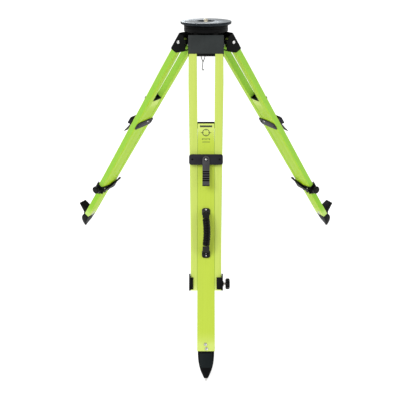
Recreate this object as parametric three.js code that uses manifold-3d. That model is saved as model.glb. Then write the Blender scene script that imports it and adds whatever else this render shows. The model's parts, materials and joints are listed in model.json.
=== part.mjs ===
// Surveyor tripod: a round metal head on three legs of fluorescent fibreglass. Each leg is a pair of
// rails hinged to the head, with a rectangular tube that slides between them and ends in a spiked shoe.
// Millimetres, +Z up, standing on Z = 0. -Y is the front, where the leg with the carrying handle is.
import * as THREE from "three";
import { mergeVertices } from "three/addons/utils/BufferGeometryUtils.js";
import Module from "manifold-3d";

const wasm = await Module();
wasm.setup();

// ---------------------------------------------------------------- driving dimensions
const HEAD_HEIGHT = 1020;
const LEG_SPREAD = THREE.MathUtils.degToRad(33.55); // from the vertical to the line from pin to tip
const LEG_LENGTH = 1137; // hinge pin to spike tip, with the tube locked as it stands
const HINGE_HEIGHT = LEG_LENGTH * Math.cos(LEG_SPREAD);
const HINGE_RADIUS = 80.6;
const GAP = 0.3; // clearance between pieces that touch

const PLATE = { radius: 92, thick: 10, hole: 32 };
const DRUM = { radius: 80, bottom: 985, roof: 8.7 };
const CORE = { radius: 54, bore: 46, bottom: 936 };
const LUG = { half: 31.6, barrel: 13, low: 936, high: 960 };
const PIN = 5; // radius of the hinge bolt

const RAIL = { wide: 20.5, thick: 26, corner: 5, top: -18, bottom: 852 };
const SPLAY = { from: 760, to: 150, half: 50.4, halfTop: 60.8, power: 1.25 };
const SLOT = { from: 400, to: 48, half: 28.9, halfTop: 32.2, power: 1.3 }; // the space between the two rails
const TUBE = { wide: 57, thick: 24, wall: 3, corner: 3.5, top: 289, bottom: 1044 };
const FACE = RAIL.thick / 2; // outer and inner faces of the rails, either side of the leg's mid plane

const CASING = { half: 62.7, wall: 1.6, top: -30, bottom: 42, front: 4, lap: 8, floor: 2.5 };
const BOLT = { head: 7.5, nut: 8, thick: 2.2 };
const BRIDGE = { top: 400, bottom: 436, half: 57, plate: 3.5, standOff: 11.4, pad: 12 };
const CAP = { top: 282.5, lip: 10, lipHalf: 43, lipTop: 276, lipBottom: 300, rim: 4, plug: 24 };
const STRAP = { pivot: 419, wide: 24, thick: 3.5, top: 407, bend: 440, bottom: 512, tipOut: 14 };
const CLAMP = { top: 809, bottom: 852, wall: 4.6, half: 55.3, lipLeft: 42, lipRight: 34.5 };
const KNOB = { shaft: 4, radius: 18, from: 63.5, to: 78, down: 830 };
const LEVER = { x: 46, out: -22.5, barrel: 4.2, pin: 2, thick: 4.6, wide: 14 };
const KNUCKLE = { upper: [809, 817], lower: [837, 845] };
const SHOE = { plugTop: 1000, bottom: 1127, pedalTop: 1022, pedalThick: 7, pedalHalf: 20, pedalOut: 66 };
const SPIKE = { radius: 5.6, shank: 3.4, shankTop: 1104, tip: 1.4, offset: 7 }; // offset to the flat face
const HANDLE = { top: 581, bottom: 746, fitting: 27, wide: 27, plate: 5, grip: 11.5, neck: 11 };
const BOW = { out: 48, side: 3, reach: 44 }; // the grip's curve, away from the tube and to one side

const SCREW = { radius: 7.94, top: HEAD_HEIGHT + 7, bottom: 940, collar: 13 };
const COLLAR = { low: 974, high: 986.2 };
const WASHER = { radius: 15, low: 986.5, high: 989.7 };
const ARM = { pivotY: 38, low: 990, high: 994, half: 15.5, travel: 10 };
const SCREW_KNOB = { radius: 22, low: 902, high: 939.6 };
const HOOK = { wire: 1.7, x: -11, half: 8, top: 899.5, fork: 877, bottom: 847, lean: -3 };

// ---------------------------------------------------------------- materials
const finish = (color, roughness, metalness) =>
  new THREE.MeshStandardMaterial({ color, roughness, metalness });
const FIBREGLASS = () => finish(0xb4dc3c, 0.38, 0);
const BLACK_PLASTIC = () => finish(0x17181a, 0.45, 0);
const BLACK_METAL = () => finish(0x101112, 0.5, 0.4);
const MACHINED = () => finish(0xb9c0c6, 0.35, 0.9);
const STEEL = () => finish(0xb0b3b5, 0.3, 1);
const BRASS = () => finish(0xc9b98a, 0.35, 1);
const RUBBER = () => finish(0x141414, 0.7, 0);

// ---------------------------------------------------------------- solids
function solid(geometry) {
  const bare = geometry.index ? geometry.toNonIndexed() : geometry.clone();
  for (const name of Object.keys(bare.attributes)) {
    if (name !== "position") bare.deleteAttribute(name);
  }
  const merged = mergeVertices(bare, 1e-4);
  const make = (triVerts) =>
    new wasm.Manifold(
      new wasm.Mesh({ numProp: 3, vertProperties: merged.attributes.position.array, triVerts }),
    );
  const made = make(new Uint32Array(merged.index.array));
  if (made.volume() >= 0) return made;
  return make(new Uint32Array(merged.index.array).reverse());
}

const join = (...geometries) => geometries.map(solid).reduce((all, next) => all.add(next));
const cut = (body, ...tools) => tools.reduce((left, tool) => left.subtract(solid(tool)), body);

function named(name, body, material) {
  const { numProp, vertProperties, triVerts } = body.getMesh();
  const points = new Float32Array((vertProperties.length / numProp) * 3);
  for (let i = 0; i < points.length / 3; i++) {
    points.set(vertProperties.subarray(i * numProp, i * numProp + 3), i * 3);
  }
  const geometry = new THREE.BufferGeometry();
  geometry.setAttribute("position", new THREE.BufferAttribute(points, 3));
  geometry.setIndex(new THREE.BufferAttribute(triVerts, 1));
  geometry.computeVertexNormals();
  const mesh = new THREE.Mesh(geometry, material);
  mesh.name = name;
  return mesh;
}

// ---------------------------------------------------------------- shapes
function roundedRect(wide, high, corner) {
  const x = wide / 2;
  const y = high / 2;
  const shape = new THREE.Shape();
  shape.moveTo(-x + corner, -y);
  shape.lineTo(x - corner, -y);
  shape.absarc(x - corner, -y + corner, corner, -Math.PI / 2, 0);
  shape.lineTo(x, y - corner);
  shape.absarc(x - corner, y - corner, corner, 0, Math.PI / 2);
  shape.lineTo(-x + corner, y);
  shape.absarc(-x + corner, y - corner, corner, Math.PI / 2, Math.PI);
  shape.lineTo(-x, -y + corner);
  shape.absarc(-x + corner, -y + corner, corner, Math.PI, Math.PI * 1.5);
  return shape;
}

const polygon = (points) => new THREE.Shape(points.map(([x, y]) => new THREE.Vector2(x, y)));
const CURVE_STEPS = 2; // segments in each rounded corner
const PIVOT = 3; // radius of the small pivot pins

// A box between two corners.
function block(x0, x1, y0, y1, z0, z1) {
  const geometry = new THREE.BoxGeometry(x1 - x0, y1 - y0, z1 - z0);
  return geometry.translate((x0 + x1) / 2, (y0 + y1) / 2, (z0 + z1) / 2);
}

// A solid of revolution about Z, from a closed profile of [radius, height] points.
function turned(profile, segments) {
  const points = profile.map(([r, z]) => new THREE.Vector2(r, z));
  return new THREE.LatheGeometry([...points, points[0]], segments).rotateX(Math.PI / 2);
}

// A rod along X between x0 and x1.
function rodX(radius, x0, x1, segments = 16) {
  const rod = new THREE.CylinderGeometry(radius, radius, x1 - x0, segments).rotateZ(Math.PI / 2);
  return rod.translate((x0 + x1) / 2, 0, 0);
}

// A rod along Z between z0 and z1.
function rodZ(radius, z0, z1, segments = 16) {
  const rod = new THREE.CylinderGeometry(radius, radius, z1 - z0, segments).rotateX(Math.PI / 2);
  return rod.translate(0, 0, (z0 + z1) / 2);
}

// An outline in the (x, z) plane, made thick from y0 to y1.
function slabY(shape, y0, y1, curveSegments = CURVE_STEPS) {
  const slab = new THREE.ExtrudeGeometry(shape, { depth: y1 - y0, bevelEnabled: false, curveSegments });
  return slab.rotateX(Math.PI / 2).translate(0, y1, 0);
}

// An outline in the (y, z) plane, made thick from x0 to x1.
function slabX(shape, x0, x1, curveSegments = CURVE_STEPS) {
  const slab = new THREE.ExtrudeGeometry(shape, { depth: x1 - x0, bevelEnabled: false, curveSegments });
  return slab.rotateY(Math.PI / 2).rotateX(Math.PI / 2).translate(x0, 0, 0);
}

// A section carried along a smooth curve through the given points.
function swept(section, points, steps) {
  const curve = new THREE.CatmullRomCurve3(points.map((p) => new THREE.Vector3(...p)));
  return new THREE.ExtrudeGeometry(section, { steps, extrudePath: curve, curveSegments: CURVE_STEPS });
}

function disc(radius, sides) {
  const corners = [];
  for (let i = 0; i < sides; i++) {
    const turn = (i / sides) * 2 * Math.PI;
    corners.push([radius * Math.cos(turn), radius * Math.sin(turn)]);
  }
  return polygon(corners);
}

// ---------------------------------------------------------------- head
function headPlate() {
  const low = HEAD_HEIGHT - PLATE.thick;
  return solid(
    turned(
      [
        [PLATE.hole, low],
        [PLATE.radius - 1, low],
        [PLATE.radius, low + 1],
        [PLATE.radius, HEAD_HEIGHT - 1.5],
        [PLATE.radius - 1.5, HEAD_HEIGHT],
        [PLATE.hole + 1, HEAD_HEIGHT],
        [PLATE.hole, HEAD_HEIGHT - 1],
      ],
      48,
    ),
  );
}

// The casting under the plate: a drum, a hollow core and three lugs that carry the leg hinges.
function headBody(angles) {
  const top = HEAD_HEIGHT - PLATE.thick - GAP;
  let body = solid(
    turned(
      [
        [PLATE.hole, top],
        [DRUM.radius, top],
        [DRUM.radius, DRUM.bottom],
        [CORE.radius, DRUM.bottom],
        [CORE.radius, CORE.bottom],
        [CORE.bore, CORE.bottom],
        [CORE.bore, top - DRUM.roof],
        [PLATE.hole, top - DRUM.roof],
      ],
      36,
    ),
  );
  for (const angle of angles) {
    const web = block(-LUG.half, LUG.half, -HINGE_RADIUS, -CORE.bore - 2, LUG.low, LUG.high);
    const barrel = rodX(LUG.barrel, -LUG.half, LUG.half).translate(0, -HINGE_RADIUS, HINGE_HEIGHT);
    const bore = rodX(PIN + GAP, -LUG.half - 1, LUG.half + 1).translate(0, -HINGE_RADIUS, HINGE_HEIGHT);
    body = body.add(solid(web.rotateZ(angle))).add(solid(barrel.rotateZ(angle)));
    body = cut(body, bore.rotateZ(angle));
  }
  const pivotHole = rodZ(PIVOT + GAP, top - DRUM.roof - 1, top - DRUM.roof + 6, 12);
  return cut(body, pivotHole.translate(0, ARM.pivotY, 0));
}

// The swinging arm that carries the fixing screw in a slot.
function screwArm() {
  const plate = new THREE.Shape();
  plate.absarc(0, ARM.pivotY, ARM.half - 8, 0, Math.PI);
  plate.absarc(0, -ARM.travel, ARM.half, Math.PI, 2 * Math.PI);
  const slot = new THREE.Path();
  const wide = SCREW.radius + 0.4;
  slot.absarc(0, ARM.travel, wide, 0, Math.PI);
  slot.absarc(0, -ARM.travel, wide, Math.PI, 2 * Math.PI);
  plate.holes.push(slot);
  const arm = new THREE.ExtrudeGeometry(plate, {
    depth: ARM.high - ARM.low,
    bevelEnabled: false,
    curveSegments: 8,
  });
  const hole = rodZ(PIVOT + GAP, ARM.low - 1, ARM.high + 1, 12).translate(0, ARM.pivotY, 0);
  return cut(solid(arm.translate(0, 0, ARM.low)), hole);
}

function armPivotBolt() {
  const head = rodZ(6, ARM.low - 4, ARM.low - GAP, 12);
  const shank = rodZ(PIVOT, ARM.low - 1, HEAD_HEIGHT - PLATE.thick - DRUM.roof + 4, 12);
  return join(head.translate(0, ARM.pivotY, 0), shank.translate(0, ARM.pivotY, 0));
}

function fixingScrew() {
  const chamfer = 1.5;
  return solid(
    turned(
      [
        [0, SCREW.bottom],
        [SCREW.radius, SCREW.bottom],
        [SCREW.radius, COLLAR.low],
        [SCREW.collar, COLLAR.low],
        [SCREW.collar, COLLAR.high],
        [SCREW.radius, COLLAR.high],
        [SCREW.radius, SCREW.top - chamfer],
        [SCREW.radius - chamfer, SCREW.top],
        [0, SCREW.top],
      ],
      24,
    ),
  );
}

// The washer that slides along under the arm with the screw turning in it.
function screwWasher() {
  const bore = SCREW.radius + GAP;
  return solid(
    turned(
      [
        [bore, WASHER.low],
        [WASHER.radius, WASHER.low],
        [WASHER.radius, WASHER.high],
        [bore, WASHER.high],
      ],
      20,
    ),
  );
}

function fixingKnob() {
  const { radius, low, high } = SCREW_KNOB;
  return solid(
    turned(
      [
        [0, low],
        [radius - 4, low],
        [radius, low + 4],
        [radius, high - 8],
        [radius - 6, high],
        [0, high],
      ],
      20,
    ),
  );
}

// A wire fork under the fixing screw, ending in the hook that carries a plumb line.
function plumbHook() {
  const { wire, x, half, top, fork, bottom, lean } = HOOK;
  const section = disc(wire, 6);
  const arm = (side) => [
    [x + side * half, 0, top],
    [x + side * half * 0.75, 0, (top + fork) / 2 + 2],
    [x, 0, fork],
  ];
  const curl = 4.5;
  const stem = [
    [x, 0, fork + 2],
    [x + lean / 2, 0, (fork + bottom) / 2],
    [x + lean, 0, bottom],
    [x + lean + curl * 0.6, 0, bottom - curl * 0.8],
    [x + lean + curl * 1.4, 0, bottom],
  ];
  return join(swept(section, arm(-1), 3), swept(section, arm(1), 3), swept(section, stem, 8));
}

// ---------------------------------------------------------------- leg pieces
// Every piece of a leg is drawn with the leg hanging straight down from its hinge pin: X runs across
// the leg, -Y is its outer face, and "down" is the distance below the pin.
const legPoint = (out, down) => [-out, -down];

// Half a width that grows towards the head: SPLAY is the outer edges of the rails, which grow wider,
// and SLOT is their inner edges.
function growing({ from, to, half, halfTop, power }, down) {
  const share = THREE.MathUtils.clamp((from - down) / (from - to), 0, 1);
  return half + (halfTop - half) * share ** power;
}

function rail(side) {
  const long = RAIL.bottom - RAIL.top;
  const steps = 10;
  const bar = new THREE.ExtrudeGeometry(roundedRect(RAIL.wide, RAIL.thick, RAIL.corner), {
    depth: long,
    steps,
    bevelEnabled: false,
    curveSegments: CURVE_STEPS,
  }).translate(0, 0, -RAIL.bottom);
  const place = bar.attributes.position;
  for (let i = 0; i < place.count; i++) {
    const edge = growing(SPLAY, -place.getZ(i));
    const slot = growing(SLOT, -place.getZ(i));
    const stretch = (edge - slot) / RAIL.wide;
    place.setX(i, place.getX(i) * stretch + (side * (edge + slot)) / 2);
  }
  const hole = rodX(PIN + GAP, -SPLAY.halfTop - 1, SPLAY.halfTop + 1);
  return cut(solid(bar), hole);
}

// A cap over the tops of the rails: an outer face, two cheeks and a sloping floor behind the rails,
// open towards the head.
function hingeCasing() {
  const { half, wall, top, bottom, front, lap, floor } = CASING;
  const near = FACE + GAP;
  const face = near + front;
  const corner = 3;
  const cheek = polygon([
    legPoint(face - corner, top),
    legPoint(face, top + corner),
    legPoint(face, bottom - 8),
    legPoint(face - 4, bottom - 3),
    legPoint(-8, bottom - 3),
    legPoint(-14, bottom - 5),
    legPoint(-38, 12),
    legPoint(-40, 5),
    legPoint(-10, top),
  ]);
  const slope = polygon([
    legPoint(-near - GAP, 36.6),
    legPoint(-35.8, 14.4),
    legPoint(-35.8 + floor, 14.4 - floor / 2),
    legPoint(-near - GAP, 36.6 - floor * Math.SQRT2),
  ]);
  const inner = half - wall / 2;
  const shell = join(
    slabX(cheek, half - wall, half),
    slabX(cheek, -half, -half + wall),
    slabX(slope, -inner, inner),
    block(-inner, inner, -face, -near, -bottom, -top - corner),
    block(-inner, inner, -face + corner, -near + lap, -top - corner, -top),
    block(-inner, inner, -face + corner, -near, -top - corner - 1, -top - corner + 1),
  );
  return cut(shell, rodX(PIN + GAP, -half - 1, half + 1));
}

function pivotBolt() {
  const { half } = CASING;
  const { head, nut, thick } = BOLT;
  return join(
    rodX(PIN, -half - 1, half + 1),
    rodX(head, half + GAP, half + thick, 20),
    rodX(nut, -half - thick, -half - GAP, 6),
  );
}

// A bridge between the rails. side = 1 is on the outer face and side = -1 on the inner one. A bridge
// that the lip of the tube's cap must pass under stands off the rails on a pad at each end.
function bridgePlate(side, standOff) {
  const { top, bottom, half, plate, pad } = BRIDGE;
  const middle = (top + bottom) / 2;
  const outline = roundedRect(2 * half, bottom - top, side > 0 ? 8 : 12);
  const near = FACE + GAP + standOff;
  const sheet = slabY(outline, near, near + plate).translate(0, 0, -middle);
  const pieces = [sheet];
  if (standOff > 0) {
    for (const x of [-half + 1, half - 1 - pad]) {
      pieces.push(block(x, x + pad, FACE + GAP, near + 1, -bottom + 6, -top - 6));
    }
  }
  if (side > 0) pieces.forEach((piece) => piece.rotateZ(Math.PI));
  let body = join(...pieces);
  if (side > 0) {
    const hole = rodZ(PIVOT + GAP, -near - plate - 1, -near + 1, 12).rotateX(-Math.PI / 2);
    body = cut(body, hole.translate(0, 0, -STRAP.pivot));
  }
  return body;
}

function strapRivet() {
  const from = FACE + GAP + BRIDGE.standOff;
  const head = from + BRIDGE.plate + STRAP.thick + 2 * GAP;
  const along = (radius, out0, out1, sides) => {
    const rod = new THREE.CylinderGeometry(radius, radius, out1 - out0, sides);
    return rod.translate(0, -(out0 + out1) / 2, -STRAP.pivot);
  };
  return join(along(PIVOT, from + 0.2, head + 0.5, 12), along(5.5, head, head + 2, 16));
}

// The tab that hangs from the outer bridge: flat over the bridge, then leaning away from the leg.
function strap() {
  const { wide, thick, top, bend, bottom, tipOut, pivot } = STRAP;
  const near = FACE + 2 * GAP + BRIDGE.standOff + BRIDGE.plate;
  const side = polygon([
    legPoint(near, top),
    legPoint(near + thick, top),
    legPoint(near + thick, bend),
    legPoint(near + thick + tipOut, bottom),
    legPoint(near + tipOut, bottom),
    legPoint(near, bend),
  ]);
  const outline = new THREE.Shape();
  outline.absarc(0, -pivot, wide / 2, 0, Math.PI);
  outline.lineTo(-wide / 2, -bottom);
  outline.lineTo(wide / 2, -bottom);
  const bar = solid(slabX(side, -wide / 2, wide / 2));
  const plan = solid(slabY(outline, -near - thick - tipOut - 1, -near + 1, 8));
  const hole = rodZ(PIVOT + GAP, -near - thick - 1, -near + 1, 12).rotateX(-Math.PI / 2);
  return cut(bar.intersect(plan), hole.translate(0, 0, -pivot));
}

function slidingTube() {
  const { wide, thick, wall, corner, top, bottom } = TUBE;
  const section = roundedRect(wide, thick, corner);
  section.holes.push(roundedRect(wide - 2 * wall, thick - 2 * wall, corner - wall));
  const tube = new THREE.ExtrudeGeometry(section, {
    depth: bottom - top - GAP,
    bevelEnabled: false,
    curveSegments: CURVE_STEPS,
  });
  return solid(tube.translate(0, 0, -bottom + GAP));
}

// The cap on top of the tube: an open cup whose plug sits in the tube, with an arched lip that rides
// over one face of the rails. face = 1 puts the lip on the outer face, -1 on the inner one.
function tubeCap(face) {
  const { wide, thick, wall } = TUBE;
  const { top, lip, lipHalf, lipTop, lipBottom, rim, plug } = CAP;
  const plugWide = wide - 2 * wall - 2 * GAP;
  const plugThick = thick - 2 * wall - 2 * GAP;
  const end = TUBE.top - GAP;
  const arch = new THREE.Shape();
  const near = FACE + GAP;
  const rise = (lipBottom - lipTop) / 2;
  arch.moveTo(...legPoint(near, lipBottom));
  arch.quadraticCurveTo(...legPoint(near + lip * 1.6, lipBottom - rise), ...legPoint(near, lipTop));
  const bump = slabX(arch, -lipHalf, lipHalf, 6);
  const neck = block(-wide / 2 + 2, wide / 2 - 2, -near - 2, -thick / 2 + 2, -end, -top);
  if (face < 0) [bump, neck].forEach((piece) => piece.rotateZ(Math.PI));
  const body = join(
    block(-wide / 2, wide / 2, -thick / 2, thick / 2, -end, -top),
    block(-plugWide / 2, plugWide / 2, -plugThick / 2, plugThick / 2, -end - plug, -top - 2),
    bump,
    neck,
  );
  const pocket = block(-wide / 2 + rim, wide / 2 - rim, -thick / 2 + rim, thick / 2 - rim, -top - 9, -top + 1);
  return cut(body, pocket);
}

// The bracket that ties the lower ends of the rails: a saddle band across the inner face, two side
// walls and short lips over the outer face. hand = 1 has the thumb screw on the +X side.
function clampBracket(hand) {
  const { top, bottom, wall, half, lipLeft, lipRight } = CLAMP;
  const inner = half - wall;
  const back = FACE + GAP;
  const band = new THREE.Shape();
  band.moveTo(-half, -bottom + 6);
  band.quadraticCurveTo(-half + 2, -bottom, -half + 10, -bottom);
  band.lineTo(half - 10, -bottom);
  band.quadraticCurveTo(half - 2, -bottom, half, -bottom + 6);
  band.lineTo(half, -top + 6);
  band.quadraticCurveTo(0, -top - 22, -half, -top + 6);
  const wallOutline = polygon([
    legPoint(-back - wall, top - 6),
    legPoint(-back - wall, bottom - 6),
    legPoint(-back, bottom),
    legPoint(back, bottom),
    legPoint(back + wall, bottom - 7),
    legPoint(back + wall, top - 12),
    legPoint(back, top),
    legPoint(-4, top + 3),
  ]);
  const lip = (reach) => block(reach, half - 1, -back - wall, -back, -bottom + 4, -top);
  const lugX = hand * LEVER.x;
  const knuckle = (from, to) =>
    rodZ(LEVER.barrel, -to, -from, 12).translate(lugX, -LEVER.out, 0);
  const root = (from, to) =>
    block(lugX - 3.6, lugX + 3.6, back + 1, -LEVER.out, -to, -from);
  const tooth = (x, reach) => block(x - 3.5, x + 3.5, back, back + wall, -bottom - reach, -bottom + 6);
  const boss = rodX(9, half - 1, half + 2.5, 16).translate(0, 0, -KNOB.down);
  const pieces = [
    slabY(band, back, back + wall),
    slabX(wallOutline, inner, half),
    slabX(wallOutline, -half, -inner),
    lip(hand > 0 ? lipRight : lipLeft),
    lip(hand > 0 ? lipLeft : lipRight).rotateZ(Math.PI).translate(0, -2 * back - wall, 0),
    knuckle(...KNUCKLE.upper),
    root(...KNUCKLE.upper),
    knuckle(...KNUCKLE.lower),
    root(...KNUCKLE.lower),
    tooth(hand * 8, 12),
    tooth(-hand * 14, 6),
    hand > 0 ? boss : boss.rotateZ(Math.PI),
  ];
  const bore = rodX(KNOB.shaft + GAP, inner - 1, half + 4, 16).translate(0, 0, -KNOB.down);
  if (hand < 0) bore.rotateZ(Math.PI);
  const pinHole = rodZ(LEVER.pin + GAP, -bottom, -top + 1, 12).translate(lugX, -LEVER.out, 0);
  return cut(join(...pieces), bore, pinHole);
}

function leverPin(hand) {
  const pin = rodZ(LEVER.pin, -KNUCKLE.lower[1], -KNUCKLE.upper[0], 12);
  return solid(pin.translate(hand * LEVER.x, -LEVER.out, 0));
}

// The quick-clamp lever: a barrel on its pin and a curved arm across the inner face that rises to a tip.
function clampLever(hand) {
  const { x, out, barrel, pin, thick, wide } = LEVER;
  const high = KNUCKLE.upper[1] + 1;
  const low = KNUCKLE.lower[0] - 1;
  const place = (across, outAt, down) => [hand * across, -outAt, -down];
  const section = roundedRect(wide, thick, 2);
  const path = [
    place(x - 2, out, 827),
    place(20, out + 1, 827),
    place(-8, out + 1, 820),
    place(-30, out + 0.6, 804),
    place(-41, out - 0.5, 788),
    place(-46, out - 2, 774),
  ];
  const arm = new THREE.ExtrudeGeometry(section, {
    steps: 8,
    curveSegments: 1,
    extrudePath: new THREE.CatmullRomCurve3(path.map((p) => new THREE.Vector3(...p))),
  });
  const hub = rodZ(barrel, -low, -high, 12).translate(hand * x, -out, 0);
  const hole = rodZ(pin + GAP, -low - 1, -high + 1, 12).translate(hand * x, -out, 0);
  return cut(join(arm, hub), hole);
}

function thumbScrew(hand) {
  const { shaft, radius, from, to, down } = KNOB;
  const pieces = [rodX(shaft, CLAMP.half - CLAMP.wall + 1, from + 2, 16), rodX(radius, from, to, 12)];
  for (const piece of pieces) {
    piece.translate(0, 0, -down);
    if (hand < 0) piece.rotateZ(Math.PI);
  }
  return join(...pieces);
}

// The shoe: a pointed casting plugged into the tube, flat on one face, bulging on the other, with a
// pedal on the bulging side. face = 1 puts the pedal on the outer side, -1 on the inner one.
function footShoe(face) {
  const { wide, thick, wall } = TUBE;
  const { plugTop, bottom, pedalTop, pedalThick, pedalHalf, pedalOut } = SHOE;
  const top = TUBE.bottom;
  const front = new THREE.Shape();
  front.moveTo(-26.4, -top);
  front.bezierCurveTo(-26.6, -top - 34, -21, -top - 60, -6.6, -bottom);
  front.lineTo(6.6, -bottom);
  front.bezierCurveTo(21, -top - 60, 26.6, -top - 34, 26.4, -top);
  const profile = new THREE.Shape();
  profile.moveTo(...legPoint(12, top));
  profile.bezierCurveTo(
    ...legPoint(19, top + 14),
    ...legPoint(36, top + 52),
    ...legPoint(SPIKE.radius - SPIKE.offset, bottom),
  );
  profile.lineTo(...legPoint(-SPIKE.radius - SPIKE.offset, bottom));
  profile.lineTo(...legPoint(-12, top + 40));
  profile.lineTo(...legPoint(-12, top));
  const point = solid(slabY(front, -40, 40, 10)).intersect(solid(slabX(profile, -30, 30, 10)));
  const plugX = wide / 2 - wall - GAP;
  const plugY = thick / 2 - wall - GAP;
  const plug = solid(block(-plugX, plugX, -plugY, plugY, -top - 2, -plugTop));
  const near = thick / 2 + GAP;
  const pedal = polygon([
    legPoint(near, pedalTop),
    legPoint(pedalOut, pedalTop),
    legPoint(pedalOut, pedalTop + pedalThick),
    legPoint(near + 12, top + 4),
    legPoint(near + 4, top + 18),
    legPoint(8, top + 18),
    legPoint(8, top + GAP),
    legPoint(near, top + GAP),
  ]);
  const step = solid(slabX(pedal, -pedalHalf, pedalHalf));
  const shank = rodZ(SPIKE.shank + GAP, -bottom - 1, -SPIKE.shankTop + 1, 12);
  const shoe = cut(point.add(plug).add(step), shank.translate(0, SPIKE.offset, 0));
  return face > 0 ? shoe : shoe.rotate([0, 0, 180]);
}

function footSpike(face) {
  const { radius, shank, shankTop, tip, offset } = SPIKE;
  const base = SHOE.bottom + GAP;
  return solid(
    turned(
      [
        [0, -LEG_LENGTH],
        [tip, -LEG_LENGTH],
        [radius, -base],
        [shank, -base],
        [shank, -shankTop],
        [0, -shankTop],
      ],
      16,
    ).translate(0, face * offset, 0),
  );
}

// ---------------------------------------------------------------- carrying handle on the front tube
const handleNear = TUBE.thick / 2 + GAP;

// One end of the handle: a plate on the tube and a post that rises to the grip. end = 1 is the top.
function handleFitting(end) {
  const { top, bottom, fitting, wide, plate, grip, neck } = HANDLE;
  const middle = end > 0 ? top + fitting / 2 : bottom - fitting / 2;
  const base = roundedRect(wide, fitting, 8);
  const pad = slabY(base, -handleNear - plate, -handleNear, 4).translate(0, 0, -middle);
  const at = (out, along) => legPoint(out, middle + end * along);
  const meet = BOW.out - grip / 2;
  const post = polygon([
    at(handleNear + 1, 0),
    at(handleNear + 1, 12),
    at(meet - 6, 23),
    at(meet + 5.5, 23),
    at(meet - 8, 4),
    at(handleNear + plate, 0),
  ]);
  return join(pad, slabX(post, -neck, neck));
}

function handleGrip() {
  const { top, bottom, grip } = HANDLE;
  const { out, side, reach } = BOW;
  const middle = (top + bottom) / 2;
  const path = [
    [0, -(out - 5.5), -(middle - reach)],
    [0.75 * side, -(out - 1.2), -(middle - reach / 2)],
    [side, -out, -middle],
    [0.75 * side, -(out - 1.2), -(middle + reach / 2)],
    [0, -(out - 5.5), -(middle + reach)],
  ];
  return solid(swept(disc(grip, 12), path, 12));
}

// ---------------------------------------------------------------- assembly
// hand: the side of the thumb screw. face: the side that the cap's lip and the pedal are on, because
// the front leg's tube is fitted the other way round. The spikes are off the middle of the tubes, so
// the front leg leans a little less than the others for its spike to stand at the same distance.
const LEGS = [
  { name: "front", angle: 0, hand: 1, face: -1 },
  { name: "left", angle: (-2 * Math.PI) / 3, hand: 1, face: 1 },
  { name: "right", angle: (2 * Math.PI) / 3, hand: -1, face: 1 },
];

function leg({ name, angle, hand, face }) {
  const hanging = new THREE.Group();
  const add = (piece, body, material) => hanging.add(named(`${name}_${piece}`, body, material()));
  add("rail_left", rail(-1), FIBREGLASS);
  add("rail_right", rail(1), FIBREGLASS);
  add("hinge_casing", hingeCasing(), BLACK_PLASTIC);
  add("hinge_bolt", pivotBolt(), STEEL);
  add("bridge_outer", bridgePlate(1, BRIDGE.standOff), BLACK_METAL);
  add("bridge_inner", bridgePlate(-1, face < 0 ? BRIDGE.standOff : 0), BLACK_METAL);
  add("strap", strap(), RUBBER);
  add("strap_rivet", strapRivet(), STEEL);
  add("sliding_tube", slidingTube(), FIBREGLASS);
  add("tube_cap", tubeCap(face), BLACK_PLASTIC);
  add("clamp_bracket", clampBracket(hand), BLACK_METAL);
  add("clamp_lever", clampLever(hand), BLACK_METAL);
  add("lever_pin", leverPin(hand), STEEL);
  add("thumb_screw", thumbScrew(hand), BLACK_PLASTIC);
  add("foot_shoe", footShoe(face), BLACK_METAL);
  add("foot_spike", footSpike(face), STEEL);
  if (name === "front") {
    add("handle_top", handleFitting(1), BLACK_PLASTIC);
    add("handle_bottom", handleFitting(-1), BLACK_PLASTIC);
    add("handle_grip", handleGrip(), RUBBER);
  }
  hanging.rotation.x = -(LEG_SPREAD + face * Math.asin(SPIKE.offset / LEG_LENGTH));
  hanging.position.set(0, -HINGE_RADIUS, HINGE_HEIGHT);
  const around = new THREE.Group();
  around.add(hanging);
  around.rotation.z = angle;
  return around;
}

const tripod = new THREE.Group();
tripod.add(named("head_plate", headPlate(), MACHINED()));
tripod.add(named("head_body", headBody(LEGS.map(({ angle }) => angle)), BLACK_METAL()));
tripod.add(named("screw_arm", screwArm(), STEEL()));
tripod.add(named("arm_pivot_bolt", armPivotBolt(), STEEL()));
tripod.add(named("screw_washer", screwWasher(), STEEL()));
tripod.add(named("fixing_screw", fixingScrew(), BRASS()));
tripod.add(named("fixing_knob", fixingKnob(), BLACK_PLASTIC()));
tripod.add(named("plumb_hook", plumbHook(), STEEL()));
LEGS.forEach((each) => tripod.add(leg(each)));

// The origin is the middle of the footprint, on the ground.
tripod.updateMatrixWorld(true);
const bounds = new THREE.Box3().setFromObject(tripod, true);
const middle = bounds.getCenter(new THREE.Vector3());
tripod.position.set(-middle.x, -middle.y, -bounds.min.z);

export default tripod;
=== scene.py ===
import json
import math

import bmesh
import bpy
from mathutils import Matrix, Vector


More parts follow.
